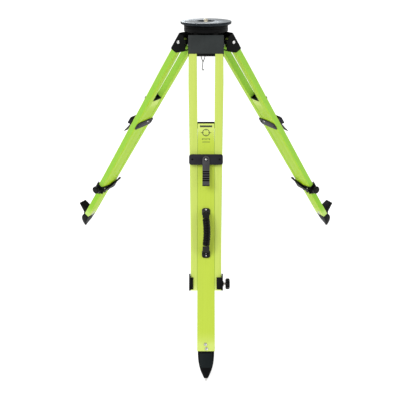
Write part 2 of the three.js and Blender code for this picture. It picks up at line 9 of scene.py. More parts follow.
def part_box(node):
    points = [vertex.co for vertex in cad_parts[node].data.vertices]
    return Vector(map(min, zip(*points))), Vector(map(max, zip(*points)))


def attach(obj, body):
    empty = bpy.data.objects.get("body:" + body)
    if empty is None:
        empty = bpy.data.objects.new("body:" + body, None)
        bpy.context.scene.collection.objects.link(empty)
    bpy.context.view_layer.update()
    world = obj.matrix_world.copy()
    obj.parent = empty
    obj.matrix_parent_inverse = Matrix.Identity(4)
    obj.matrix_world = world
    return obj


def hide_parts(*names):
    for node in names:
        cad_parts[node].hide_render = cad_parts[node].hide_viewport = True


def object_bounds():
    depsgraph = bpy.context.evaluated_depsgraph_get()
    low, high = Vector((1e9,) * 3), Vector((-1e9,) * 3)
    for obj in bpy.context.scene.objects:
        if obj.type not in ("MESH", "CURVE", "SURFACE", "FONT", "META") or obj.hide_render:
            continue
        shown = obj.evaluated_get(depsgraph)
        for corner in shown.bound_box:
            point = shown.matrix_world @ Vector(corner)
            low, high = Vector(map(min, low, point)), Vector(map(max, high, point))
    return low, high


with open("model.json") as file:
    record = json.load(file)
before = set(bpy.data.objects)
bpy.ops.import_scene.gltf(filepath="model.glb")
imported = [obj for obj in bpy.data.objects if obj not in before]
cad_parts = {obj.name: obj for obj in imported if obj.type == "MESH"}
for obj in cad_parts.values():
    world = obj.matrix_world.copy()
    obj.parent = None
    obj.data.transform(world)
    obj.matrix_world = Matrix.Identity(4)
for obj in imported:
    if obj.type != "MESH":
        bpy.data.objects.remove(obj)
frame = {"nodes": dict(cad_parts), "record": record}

CAD_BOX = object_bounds()
MM = 0.001
NODES = frame["nodes"]
JOINTS = {j["name"]: j for j in frame["record"]["behaviour"]["joints"]}

# ------------------------------------------------------------------ places
# The head is drawn in millimetres about the head's axis, with Z up from the ground. Each leg is drawn
# hanging from its hinge pin: X across the leg, Y towards its inner face, Z up along it.
HEAD_TOP = 1020
plate_low, plate_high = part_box("head_plate")
MIDDLE = (plate_low + plate_high) / 2
AXIS = Vector((MIDDLE.x, MIDDLE.y, plate_high.z - HEAD_TOP * MM))
HEAD = Matrix.Translation(AXIS)


def axes(x, y, z, origin):
    return Matrix.Translation(origin) @ Matrix((x, y, z)).transposed().to_4x4()


class Leg:
    def __init__(self, name, hand, face):
        self.name, self.hand, self.face = name, hand, face
        spread, slide = JOINTS[name + "_leg_spread"], JOINTS[name + "_leg_extend"]
        pin = Vector(spread["pos_m"])
        across = -Vector(spread["axis"]).normalized()
        up = -Vector(slide["axis"]).normalized()
        self.place = axes(across, up.cross(across), up, pin)
        level = Vector((0, 0, 1))
        self.upright = axes(across, level.cross(across), level, pin)


# with the side of the thumb knob, and the way the flat face of the shoe looks (-1 out, 1 in)
LEGS = [Leg("front", 1, -1), Leg("left", 1, 1), Leg("right", -1, 1)]

# ------------------------------------------------------------------ dimensions, in millimetres
# Those of the legs marked "down" are distances below the hinge pin.
PLATE_RADIUS, PLATE_LOW, HOLE_RADIUS = 92, 1010, 32
DRUM_RADIUS, DRUM_LOW = 80, 985
CORE_RADIUS, CORE_BORE, CORE_LOW = 54, 46, 936
LUG_HALF, LUG_BARREL = 31.6, 13
PIN_RADIUS = 5
SCREW_RADIUS, SCREW_LOW, SCREW_TOP = 7.94, 940, 1026.4
COLLAR_RADIUS, COLLAR_LOW, COLLAR_HIGH = 13, 974, 986.2
THREAD_PITCH, THREAD_DEPTH = 25.4 / 11, 1.25
FORK_TOP, FORK_X, FORK_HALF, WIRE_RADIUS = 899.3, -11, 8, 1.6

FACE = 13  # from the middle of a leg to the outer and inner faces of its bars
BAR_TOP, BAR_BOTTOM = -18, 852  # down
OUTER_CORNER, INNER_CORNER = 5, 1.2
CASING_HALF, CASING_TOP, CASING_FRONT = 62.7, 30, 17.3
TUBE_WIDE, TUBE_THICK, TUBE_WALL = 57, 24, 3
TUBE_TOP, TUBE_BOTTOM = 289.2, 1043.7  # down
PLATE_THICK, STAND_OFF, GAP = 3.5, 11.4, 0.3
BRIDGE_SCREWS = 418  # down
STRAP_WIDE, STRAP_THICK, STRAP_NEAR = 24, 3.5, 28.8
STRAP_TOP, STRAP_PIVOT, STRAP_BEND, STRAP_END = 407.2, 419, 440, 511.6  # down
STRAP_TIP = 14  # how far its end stands out
THUMB_DOWN, LEVER_PIN = 830, (46, 22.5)
SHOE_TOP, SHOE_BOTTOM, PEDAL_TOP, PEDAL_HALF = 1044.0, 1127.0, 1022, 20  # down
SPIKE_OFFSET = 7  # from the middle of the tube to the spike, towards the shoe's flat face


# ------------------------------------------------------------------ materials
class Look:
    """A node material round one Principled shader. Numbers that are the same all over are set on it."""

    def __init__(self, name, **fixed):
        self.mat = bpy.data.materials.new(name)
        self.mat.use_nodes = True
        self.nodes, self.links = self.mat.node_tree.nodes, self.mat.node_tree.links
        self.nodes.clear()
        out = self.nodes.new("ShaderNodeOutputMaterial")
        self.shader = self.nodes.new("ShaderNodeBsdfPrincipled")
        self.links.new(self.shader.outputs[0], out.inputs[0])
        for socket, value in fixed.items():
            self.shader.inputs[socket.replace("_", " ")].default_value = value
        self.rest = self.node("ShaderNodeAttribute", attribute_name="rest").outputs["Vector"]
        self.lean = self.node("ShaderNodeAttribute", attribute_name="lean").outputs["Vector"]

    def put(self, value, socket):
        if isinstance(value, bpy.types.NodeSocket):
            self.links.new(value, socket)
        elif isinstance(value, (tuple, list)) and len(value) == 3 and socket.type == "RGBA":
            socket.default_value = (*value, 1)
        else:
            socket.default_value = value

    def node(self, kind, values=(), **settings):
        n = self.nodes.new(kind)
        for key, value in settings.items():
            setattr(n, key, value)
        for key, value in dict(values).items():
            self.put(value, n.inputs[key])
        return n

    def math(self, operation, a, b=0.0, clamp=False):
        return self.node("ShaderNodeMath", {0: a, 1: b}, operation=operation, use_clamp=clamp).outputs[0]

    def noise(self, stretch, detail=3, rough=0.55):
        scale = stretch if isinstance(stretch, tuple) else (stretch,) * 3
        moved = self.node("ShaderNodeMapping", {"Vector": self.rest, "Scale": scale})
        values = {"Vector": moved.outputs[0], "Scale": 1.0, "Detail": detail, "Roughness": rough}
        return self.node("ShaderNodeTexNoise", values).outputs["Fac"]

    def span(self, value, low, high, to_low=0.0, to_high=1.0):
        values = {"Value": value, "From Min": low, "From Max": high, "To Min": to_low, "To Max": to_high}
        return self.node("ShaderNodeMapRange", values, interpolation_type="SMOOTHSTEP").outputs[0]

    def mix(self, factor, a, b, blend="MIX"):
        n = self.node("ShaderNodeMix", data_type="RGBA", blend_type=blend)
        self.put(factor, n.inputs[0])
        self.put(a, n.inputs[6])
        self.put(b, n.inputs[7])
        return n.outputs[2]

    def normal(self, axis):
        split = self.node("ShaderNodeSeparateXYZ", {0: self.lean})
        return split.outputs[axis]

    def place(self, axis):
        split = self.node("ShaderNodeSeparateXYZ", {0: self.rest})
        return split.outputs[axis]

    def edges(self, low=0.52, high=0.6):
        pointy = self.node("ShaderNodeNewGeometry").outputs["Pointiness"]
        return self.span(pointy, low, high)

    def bump(self, height, distance, strength=1.0, under=None):
        values = {"Height": height, "Distance": distance, "Strength": strength}
        n = self.node("ShaderNodeBump", values)
        if under is not None:
            self.links.new(under, n.inputs["Normal"])
        return n.outputs[0]

    def finish(self, color=None, roughness=None, normal=None, metallic=None, glow=None):
        named = {"Base Color": color, "Roughness": roughness, "Normal": normal, "Metallic": metallic,
                 "Emission Color": glow}
        for socket, value in named.items():
            if value is not None:
                self.put(value, self.shader.inputs[socket])
        return self.mat


def fibreglass(name, inner, outer, side):
    """Pultruded fibreglass: fluorescent pigment under a clear skin and fibres along the leg. Painted light:
    the outer face is painted paler as if lit, the sides deeper green as shaded, sharp edges pale as a
    painted highlight, and a faint emission is a painted glow for the fluorescence."""
    # painted glow: the faint emission in the surface colour stands in for the fluorescence
    look = Look(name, IOR=1.25, Specular_IOR_Level=0.35, Coat_Weight=0.03, Coat_Roughness=0.3,
                Emission_Strength=0.06)
    fibres = look.noise((1500, 1500, 8), 2)
    strands = look.noise((240, 240, 2.5), 3)
    clouds = look.noise((14, 14, 5), 4)
    # painted light: faces turned to the outer side get the paler colour, as if lit; the inner face keeps the
    # darker lime
    painted_lit_outer = look.span(look.normal("Y"), -0.75, 0.35, 1.0, 0.0)
    color = look.mix(painted_lit_outer, inner, outer)
    # painted shade: the sides of the bars get the deeper green
    painted_shade_sides = look.math("ABSOLUTE", look.normal("X"))
    color = look.mix(look.span(painted_shade_sides, 0.75, 0.97), color, side)
    color = look.mix(look.span(strands, 0.35, 0.7, 0.0, 0.1), color, tuple(c * 0.8 for c in inner))
    color = look.mix(look.span(fibres, 0.55, 0.75, 0.0, 0.05), color, (0.92, 0.97, 0.55))
    color = look.mix(look.span(clouds, 0.4, 0.75, 0.0, 0.14), color, tuple(c * 0.86 for c in outer))
    # painted highlight: sharp edges get a pale yellow-green
    color = look.mix(look.math("MULTIPLY", look.edges(0.51, 0.56), 0.3), color, (0.86, 0.92, 0.42))
    scratches = look.span(look.noise((900, 900, 30), 6, 0.7), 0.68, 0.76, 0.0, 0.22)
    color = look.mix(scratches, color, (0.8, 0.86, 0.5))
    rough = look.math("ADD", look.span(clouds, 0.3, 0.8, 0.3, 0.42), look.math("MULTIPLY", fibres, 0.1))
    bump = look.bump(strands, 0.0004, 0.35)
    bump = look.bump(fibres, 0.00012, 0.4, bump)
    return look.finish(color, rough, bump, glow=color)


def coated(name, base, worn, rough=0.45, grain=1500, wear=0.7, dust=0.25, shine=0.45):
    """Powder-coated or moulded black: an orange-peel skin, rubbed edges and a trace of dust."""
    look = Look(name, IOR=1.22, Specular_IOR_Level=shine)
    grains = look.noise(grain, 3)
    patches = look.noise(28, 4)
    rubbed = look.math("MULTIPLY", look.edges(0.53, 0.62), look.span(patches, 0.42, 0.62))
    color = look.mix(look.span(patches, 0.3, 0.75, 0.0, 0.5), base, tuple(c * 1.5 for c in base))
    color = look.mix(look.math("MULTIPLY", rubbed, wear), color, worn)
    upward, specks = look.span(look.normal("Z"), 0.2, 0.95), look.span(look.noise(60, 5), 0.45, 0.8)
    settled = look.math("MULTIPLY", upward, specks)
    color = look.mix(look.math("MULTIPLY", settled, dust), color, (0.07, 0.068, 0.062))
    roughness = look.math("ADD", look.span(grains, 0.2, 0.8, rough - 0.07, rough + 0.09),
                          look.span(patches, 0.3, 0.8, 0.0, 0.08))
    bump = look.bump(grains, 0.00016, 0.55)
    bump = look.bump(patches, 0.0006, 0.2, bump)
    return look.finish(color, roughness, bump)


def metal(name, color, rough, scratch=(40, 40, 900), tarnish=0.2, **fixed):
    """Plated or bare metal with a brushed grain and dulled patches."""
    look = Look(name, Metallic=1.0, **fixed)
    brushed = look.noise(scratch, 4)
    patches = look.noise(90, 4)
    tone = look.mix(look.span(brushed, 0.3, 0.75, 0.0, 0.3), color, tuple(c * 0.72 for c in color))
    tone = look.mix(look.span(patches, 0.5, 0.8, 0.0, tarnish), tone, (0.3, 0.28, 0.25))
    roughness = look.math("ADD", look.span(brushed, 0.3, 0.7, rough - 0.06, rough + 0.08),
                          look.span(patches, 0.45, 0.8, 0.0, 0.14))
    return look.finish(tone, roughness, look.bump(brushed, 0.0001, 0.4))


def machined():
    """The faced top of the head: fine rings left by the lathe, with wiped and scuffed patches."""
    look = Look("machined_ring", Metallic=1.0, Anisotropic=0.55)
    x, y = look.place("X"), look.place("Y")
    radius = look.math("SQRT", look.math("ADD", look.math("MULTIPLY", x, x), look.math("MULTIPLY", y, y)))
    rings = look.math("SINE", look.math("MULTIPLY", radius, 9000.0))
    coarse = look.math("SINE", look.math("MULTIPLY", radius, 1350.0))
    patches = look.noise(22, 5, 0.65)
    scuffs = look.span(look.noise((500, 60, 60), 5, 0.7), 0.62, 0.72)
    tone = look.mix(look.span(rings, -1, 1, 0.0, 0.16), (0.46, 0.5, 0.53), (0.31, 0.35, 0.385))
    tone = look.mix(look.span(coarse, -1, 1, 0.0, 0.14), tone, (0.38, 0.42, 0.47))
    tone = look.mix(look.span(patches, 0.45, 0.75, 0.0, 0.35), tone, (0.33, 0.37, 0.42))
    tone = look.mix(look.math("MULTIPLY", scuffs, 0.25), tone, (0.86, 0.88, 0.9))
    roughness = look.span(patches, 0.3, 0.8, 0.3, 0.46)
    tangent = look.node("ShaderNodeTangent", direction_type="RADIAL", axis="Z")
    look.links.new(tangent.outputs[0], look.shader.inputs["Tangent"])
    return look.finish(tone, roughness, look.bump(look.math("ADD", rings, coarse), 0.00002, 0.5))


def rubber(name, base, rough):
    """Moulded rubber with a fine grain and paler rubbed edges."""
    look = Look(name, IOR=1.25, Specular_IOR_Level=0.4, Sheen_Weight=0.02)
    grains = look.noise(2200, 3)
    patches = look.noise(45, 4)
    color = look.mix(look.span(patches, 0.35, 0.7, 0.0, 0.6), base, tuple(c * 1.55 for c in base))
    color = look.mix(look.math("MULTIPLY", look.edges(0.52, 0.6), 0.35), color, tuple(c * 3.0 for c in base))
    roughness = look.span(patches, 0.3, 0.75, rough - 0.08, rough + 0.08)
    return look.finish(color, roughness, look.bump(grains, 0.0002, 0.6))


def printed():
    """Black ink on the tube, a little worn."""
    look = Look("black_print", IOR=1.45)
    worn = look.span(look.noise(700, 5, 0.7), 0.56, 0.74)
    color = look.mix(look.math("MULTIPLY", worn, 0.45), (0.03, 0.035, 0.02), (0.3, 0.36, 0.08))
    return look.finish(color, look.span(worn, 0, 1, 0.5, 0.65), look.bump(worn, 0.00005, 0.4))


# painted light: the colours are the inner face, the outer face painted paler as if lit, and the sides
# painted deeper green as shaded
FIBRE = fibreglass("fibreglass_bar", (0.34, 0.55, 0.012), (0.53, 0.645, 0.125), (0.27, 0.54, 0.05))
TUBE_FIBRE = fibreglass("fibreglass_tube", (0.33, 0.53, 0.008), (0.48, 0.61, 0.06), (0.24, 0.52, 0.03))
CAST = coated("black_cast", (0.0022, 0.0023, 0.0025), (0.03, 0.03, 0.03), 0.42, wear=0.4, dust=0.1,
              shine=0.3)
CASING_LOOK = coated("casing_plastic", (0.0028, 0.003, 0.0028), (0.03, 0.033, 0.03), 0.45, 1900, 0.4,
                     dust=0.12, shine=0.3)
# painted light: a paler slate copy of the black casing plastic, given to the faces towards the front as if
# lit
CASING_LIT_FACE = coated("casing_face_lit_copy", (0.027, 0.031, 0.031), (0.1, 0.11, 0.11), 0.45, 1900, 0.5)
PANEL = coated("panel_plastic", (0.0055, 0.0085, 0.009), (0.03, 0.034, 0.034), 0.45, 1700, 0.5)
SLATE = coated("bridge_plastic", (0.016, 0.0155, 0.021), (0.09, 0.09, 0.1), 0.42, 1600, 0.5)
STRAP_LOOK = rubber("strap_rubber", (0.042, 0.041, 0.043), 0.55)
GRIP = rubber("grip_rubber", (0.0018, 0.0018, 0.0018), 0.3)
NECK = coated("handle_plastic", (0.005, 0.0054, 0.005), (0.05, 0.05, 0.047), 0.3, 1500, 0.5, shine=1.0)
ZINC = metal("zinc_steel", (0.62, 0.62, 0.61), 0.3)
WIRE = metal("hook_wire", (0.16, 0.16, 0.165), 0.42)
SHAFT = metal("thumb_shaft", (0.62, 0.59, 0.53), 0.36)
STUD = metal("screw_brass", (0.83, 0.78, 0.64), 0.3, (900, 900, 40))
TIP = metal("spike_steel", (0.6, 0.59, 0.57), 0.4, (60, 60, 700), 0.3)
RING = machined()
RIM = coated("rim_paint", (0.01, 0.0135, 0.017), (0.25, 0.27, 0.29), 0.34, 1500, 0.8, 0.1)
INK = printed()


# ------------------------------------------------------------------ mesh tools, in millimetres
def remember(mesh):
    """Keeps each point's place and lean in the piece's own axes, which the materials' grain follows."""
    rest = mesh.attributes.new("rest", "FLOAT_VECTOR", "POINT")
    rest.data.foreach_set("vector", [c for v in mesh.vertices for c in v.co])
    lean = mesh.attributes.new("lean", "FLOAT_VECTOR", "CORNER")
    lean.data.foreach_set("vector", [c for n in mesh.corner_normals for c in n.vector])


def piece(name, bm, look, body, place, stands_for=(), sharp=38, looks=()):
    bmesh.ops.scale(bm, vec=(MM, MM, MM), verts=bm.verts)
    bmesh.ops.recalc_face_normals(bm, faces=bm.faces)
    mesh = bpy.data.meshes.new(name)
    bm.to_mesh(mesh)
    bm.free()
    mesh.shade_smooth()
    mesh.set_sharp_from_angle(angle=math.radians(sharp))
    remember(mesh)
    mesh.transform(place)
    for each in (look, *looks):
        mesh.materials.append(each)
    made = bpy.data.objects.new(name, mesh)
    bpy.context.scene.collection.objects.link(made)
    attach(made, body)
    if stands_for:
        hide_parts(*stands_for)
    return made


def skin(bm, rings, cap=True, loop=False):
    """Skins a row of rings that have equal numbers of points."""
    rows = [[bm.verts.new(p) for p in r] for r in rings]
    pairs = list(zip(rows, rows[1:])) + ([(rows[-1], rows[0])] if loop else [])
    for a, b in pairs:
        for i in range(len(a)):
            j = (i + 1) % len(a)
            bm.faces.new((a[i], a[j], b[j], b[i]))
    if cap and not loop:
        bm.faces.new(rows[0][::-1])
        bm.faces.new(rows[-1])
    return rows


def rounded(wide, high, corner, steps=5, x=0.0, y=0.0):
    points = []
    for sx, sy, start in ((1, -1, -90), (1, 1, 0), (-1, 1, 90), (-1, -1, 180)):
        for i in range(steps + 1):
            a = math.radians(start + 90 * i / steps)
            points.append((x + sx * (wide / 2 - corner) + corner * math.cos(a),
                           y + sy * (high / 2 - corner) + corner * math.sin(a)))
    return points


def soften(points, radius, steps=4):
    """Rounds the corners of an outline."""
    made = []
    for i, p in enumerate(points):
        here, before, after = Vector(p), Vector(points[i - 1]), Vector(points[(i + 1) % len(points)])
        a, b = before - here, after - here
        reach = min(radius, a.length * 0.49, b.length * 0.49)
        start, end = here + a.normalized() * reach, here + b.normalized() * reach
        for k in range(steps + 1):
            t = k / steps
            made.append(tuple(start * (1 - t) ** 2 + here * 2 * t * (1 - t) + end * t * t))
    return made


def area(outline):
    return sum(a[0] * b[1] - b[0] * a[1] for a, b in zip(outline, outline[1:] + outline[:1])) / 2


def shrink(outline, by):
    """The outline moved inwards."""
    made, n = [], len(outline)
    for i, p in enumerate(outline):
        here = Vector(p)
        a, b = here - Vector(outline[i - 1]), Vector(outline[(i + 1) % n]) - here
        na, nb = Vector((-a.y, a.x)).normalized(), Vector((-b.y, b.x)).normalized()
        made.append(tuple(here + (na + nb) / max(1 + na.dot(nb), 0.3) * by))
    return made


LAY = {"X": lambda a, b, h: (h, a, b), "Y": lambda a, b, h: (a, h, b), "Z": lambda a, b, h: (a, b, h)}


def slab(bm, outline, low, high, along, edge=0.8, steps=3):
    """An outline made thick along one axis, with rounded edges."""
    outline = list(outline) if area(list(outline)) > 0 else list(outline)[::-1]
    turns = [math.pi / 2 * i / steps for i in range(steps + 1)]
    levels = [(edge * (1 - math.sin(a)), edge * (1 - math.cos(a))) for a in turns]
    rings = [(inset, low + deep) for inset, deep in levels]
    rings += [(inset, high - deep) for inset, deep in reversed(levels)]
    skin(bm, [[LAY[along](a, b, h) for a, b in shrink(outline, inset)] for inset, h in rings])


def brick(bm, x0, x1, y0, y1, z0, z1, corner=1.5, edge=0.8):
    slab(bm, rounded(x1 - x0, z1 - z0, corner, 3, (x0 + x1) / 2, (z0 + z1) / 2), y0, y1, "Y", edge)


def turn(bm, profile, segments, at=Matrix.Identity(4), loop=False, radius=None):
    """A surface of revolution about Z, then placed by at. radius(r, h, angle) may shape it."""
    rings = []
    for r, h in profile:
        ring = []
        for i in range(segments):
            a = 2 * math.pi * i / segments
            rr = radius(r, h, a) if radius else r
            ring.append(at @ Vector((rr * math.cos(a), rr * math.sin(a), h)))
        rings.append(ring)
    skin(bm, rings, cap=False, loop=loop)
    bmesh.ops.remove_doubles(bm, verts=bm.verts, dist=1e-4)


def pointing(direction, at):
    """Places something drawn along Z so that it points along direction from at."""
    return Matrix.Translation(at) @ Vector(direction).to_track_quat("Z", "Y").to_matrix().to_4x4()


OUT, IN = (0, -1, 0), (0, 1, 0)


def spline(points, each=8):
    """A smooth curve through points."""
    p = [Vector(q) for q in points]
    p = [p[0] * 2 - p[1], *p, p[-1] * 2 - p[-2]]
    made = []
    for i in range(1, len(p) - 2):
        a, b, c, d = p[i - 1:i + 3]
        for k in range(each):
            t = k / each
            made.append(0.5 * (2 * b + (c - a) * t + (2 * a - 5 * b + 4 * c - d) * t * t
                               + (3 * b - a - 3 * c + d) * t ** 3))
    return [*made, p[-2]]


def sweep(bm, path, section, up, scale=None):
    """A section carried along a path; up says which way its second axis leans."""
    rings = []
    for i, p in enumerate(path):
        ahead = (path[min(i + 1, len(path) - 1)] - path[max(i - 1, 0)]).normalized()
        side = ahead.cross(Vector(up)).normalized()
        top = side.cross(ahead).normalized()
        k = scale(i / (len(path) - 1)) if scale else 1.0
        rings.append([p + side * a * k + top * b * k for a, b in section])
    skin(bm, rings)


def circle(radius, sides):
    return [(radius * math.cos(2 * math.pi * i / sides), radius * math.sin(2 * math.pi * i / sides))
            for i in range(sides)]


def from_cad(node, place):
    """A CAD piece's shape with its flat faces made whole again."""
    bm = bmesh.new()
    bm.from_mesh(NODES[node].data)
    bmesh.ops.transform(bm, matrix=place.inverted(), verts=bm.verts)
    bmesh.ops.scale(bm, vec=(1 / MM,) * 3, verts=bm.verts)
    bmesh.ops.remove_doubles(bm, verts=bm.verts, dist=2e-3)
    bmesh.ops.dissolve_limit(bm, angle_limit=math.radians(1.5), verts=bm.verts, edges=bm.edges)
    return bm


def ease(bm, width, segments=2, over=28):
    """Rounds the sharp edges of a solid."""
    sharp = [e for e in bm.edges if len(e.link_faces) == 2
             and e.calc_face_angle(0) > math.radians(over)]
    bmesh.ops.bevel(bm, geom=sharp, offset=width, segments=segments, profile=0.5,
                    affect="EDGES", clamp_overlap=True, offset_type="OFFSET")
    return bm


def carve(body, *tools):
    """body with the tools cut away."""
    def temporary(bm):
        mesh = bpy.data.meshes.new("scratch")
        bmesh.ops.recalc_face_normals(bm, faces=bm.faces)
        bm.to_mesh(mesh)
        bm.free()
        made = bpy.data.objects.new("scratch", mesh)
        bpy.context.scene.collection.objects.link(made)
        return made
    main, others = temporary(body), [temporary(t) for t in tools]
    for other in others:
        cut = main.modifiers.new("cut", "BOOLEAN")
        cut.operation, cut.object, cut.solver = "DIFFERENCE", other, "EXACT"
    seen = main.evaluated_get(bpy.context.evaluated_depsgraph_get())
    made = bmesh.new()
    made.from_mesh(seen.to_mesh())
    for o in (main, *others):
        bpy.data.objects.remove(o)
    bmesh.ops.remove_doubles(made, verts=made.verts, dist=1e-3)
    bmesh.ops.dissolve_limit(made, angle_limit=math.radians(1), verts=made.verts, edges=made.edges)
    return made


def screw_head(bm, at, direction, radius, high):
    """A pan head with a socket."""
    profile = [(0, high * 0.3), (radius * 0.3, high * 0.3), (radius * 0.36, high * 0.92),
               (radius * 0.55, high), (radius * 0.82, high * 0.8), (radius, high * 0.35), (radius, -0.3),
               (0, -0.3)]
    turn(bm, profile, 20, pointing(direction, at))


# ------------------------------------------------------------------ head
def head_ring():
    hole, rim, low, top = HOLE_RADIUS, PLATE_RADIUS, PLATE_LOW, HEAD_TOP
    bm = bmesh.new()
    turn(bm, [(hole, low), (rim - 3.5, low), (rim - 1.4, low + 0.5), (rim - 0.3, low + 1.8),
              (rim, low + 3.6), (rim, top - 2.6), (rim - 0.4, top - 1.3), (rim - 1.3, top - 0.4),
              (rim - 2.4, top), (hole + 2.4, top), (hole + 1, top - 0.5), (hole, top - 1.8)], 144, loop=True)
    for face in bm.faces:
        face.material_index = 0 if face.calc_center_median().z > top - 0.7 else 1
    piece("machined_head_ring", bm, RING, "head", HEAD, ["head_plate"], 30, [RIM])


def drum_and_lugs():
    """The drum with a groove round it, the core under it, and a ribbed lug for each leg."""
    roof, floor = PLATE_LOW - GAP, PLATE_LOW - 9
    wide, low = DRUM_RADIUS, DRUM_LOW
    core, bore, foot = CORE_RADIUS, CORE_BORE, CORE_LOW
    bm = bmesh.new()
    turn(bm, [(HOLE_RADIUS, roof), (wide - 2, roof), (wide - 0.8, roof - 0.4), (wide, roof - 1.5),
              (wide, 1001.5), (wide - 0.8, 1000.6), (wide - 0.8, 998.4), (wide, 997.5),
              (wide, low + 2.2), (wide - 0.6, low + 0.8), (wide - 2, low), (core + 3, low),
              (core, low - 3), (core, foot + 2), (core - 1.5, foot), (bore, foot), (bore, floor),
              (HOLE_RADIUS, floor)], 120, loop=True)
    piece("head_drum", bm, CAST, "head", HEAD, ["head_body"])
    half, barrel = LUG_HALF, LUG_BARREL
    for leg in LEGS:
        bm = bmesh.new()
        brick(bm, 0.2 - half, half - 0.2, 0, 33, -11.4, 12.2, 2, 1)
        turn(bm, [(0, -half), (barrel - 0.8, -half), (barrel, 0.8 - half), (barrel, half - 0.8),
                  (barrel - 0.8, half), (0, half)], 40, pointing((1, 0, 0), (0, 0, 0)))
        for x in (-21, 0, 21):
            slab(bm, soften([(4, 9), (30, 9), (30, 36), (22, 36)], 2), x - 2.5, x + 2.5, "X", 0.8)
        piece(leg.name + "_hinge_lug", bm, CAST, "head", leg.upright)


def screw_arm():
    """The arm under the head, its bolt, and the washer that carries the screw."""
    piece("screw_arm_plate", ease(from_cad("screw_arm", HEAD), 0.5), ZINC, "screw_arm", HEAD, ["screw_arm"])
    piece("arm_bolt", ease(from_cad("arm_pivot_bolt", HEAD), 0.6), ZINC, "head", HEAD, ["arm_pivot_bolt"])
    piece("arm_washer", ease(from_cad("screw_washer", HEAD), 0.3), ZINC, "screw_washer", HEAD,
          ["screw_washer"])


def fixing_screw():
    """The screw, with a 60 degree thread of 11 turns to the inch, and its knob."""
    low, top, outer = SCREW_LOW, SCREW_TOP, SCREW_RADIUS
    rows = int((top - low) / (THREAD_PITCH / 6))

    def thread(r, h, a):
        if r < outer - 0.01 or COLLAR_LOW <= h <= COLLAR_HIGH:
            return r
        phase = (h / THREAD_PITCH - a / (2 * math.pi)) % 1.0
        return outer - THREAD_DEPTH * (1 - abs(2 * phase - 1)) if h < top - 1.8 else outer - 1.3
    profile = [(0, low)] + [(outer, low + (top - low) * i / rows) for i in range(rows + 1)]
    profile = [(COLLAR_RADIUS, h) if COLLAR_LOW < h < COLLAR_HIGH and r > 0 else (r, h) for r, h in profile]
    profile += [(5.6, top + 0.6), (3.4, top + 0.5), (3.0, top - 0.8), (0, top - 0.8)]
    bm = bmesh.new()
    turn(bm, profile, 40, radius=thread)
    piece("threaded_screw", bm, STUD, "fixing_screw", HEAD, ["fixing_screw"], 50)

    bm = bmesh.new()

    def lobes(r, h, a):
        return r - (1.3 * (1 + math.cos(10 * a)) / 2 if r > 16 else 0)
    turn(bm, [(0, 902), (15, 902), (18.5, 903), (21, 905), (22, 908), (22, 929), (20.5, 932.5), (15, 935),
              (11, 936), (10, 939.6), (0, 939.6)], 120, radius=lobes)
    piece("screw_knob", bm, NECK, "fixing_screw", HEAD, ["fixing_knob"])


def plumb_hook():
    """The wire fork and hook for the plumb line."""
    x, half, wire = FORK_X, FORK_HALF, WIRE_RADIUS
    bm = bmesh.new()
    for side in (-1, 1):
        path = spline([(x + side * half, 0, FORK_TOP), (x + side * half * 0.78, 0, 890),
                       (x + side * 2.5, 0, 880), (x, 0, 875)], 6)
        sweep(bm, path, circle(wire, 10), (0, 1, 0))
    path = spline([(x, 0, 879), (x - 1.2, 0, 868), (x - 2.6, 0, 855), (x - 3, 0, 848.5), (x - 0.8, 0, 844.4),
                   (x + 2.2, 0, 845.4), (x + 3, 0, 848)], 6)
    sweep(bm, path, circle(wire, 10), (0, 1, 0))
    piece("plumb_wire", bm, WIRE, "plumb_hook", HEAD, ["plumb_hook"], 60)


# ------------------------------------------------------------------ legs
def growing(down, start, end, half, half_top, power):
    """A half width that grows from half to half_top between two levels, going up."""
    share = min(max((start - down) / (start - end), 0), 1)
    return half + (half_top - half) * share ** power


def half_width(down):
    """Half the distance between the outer edges of the bars, which grow wider towards the head."""
    return growing(down, 760, 150, 50.4, 60.8, 1.25)


def half_slot(down):
    """Half the distance between the inner edges of the bars."""
    return growing(down, 400, 48, 28.65, 32.2, 1.3)


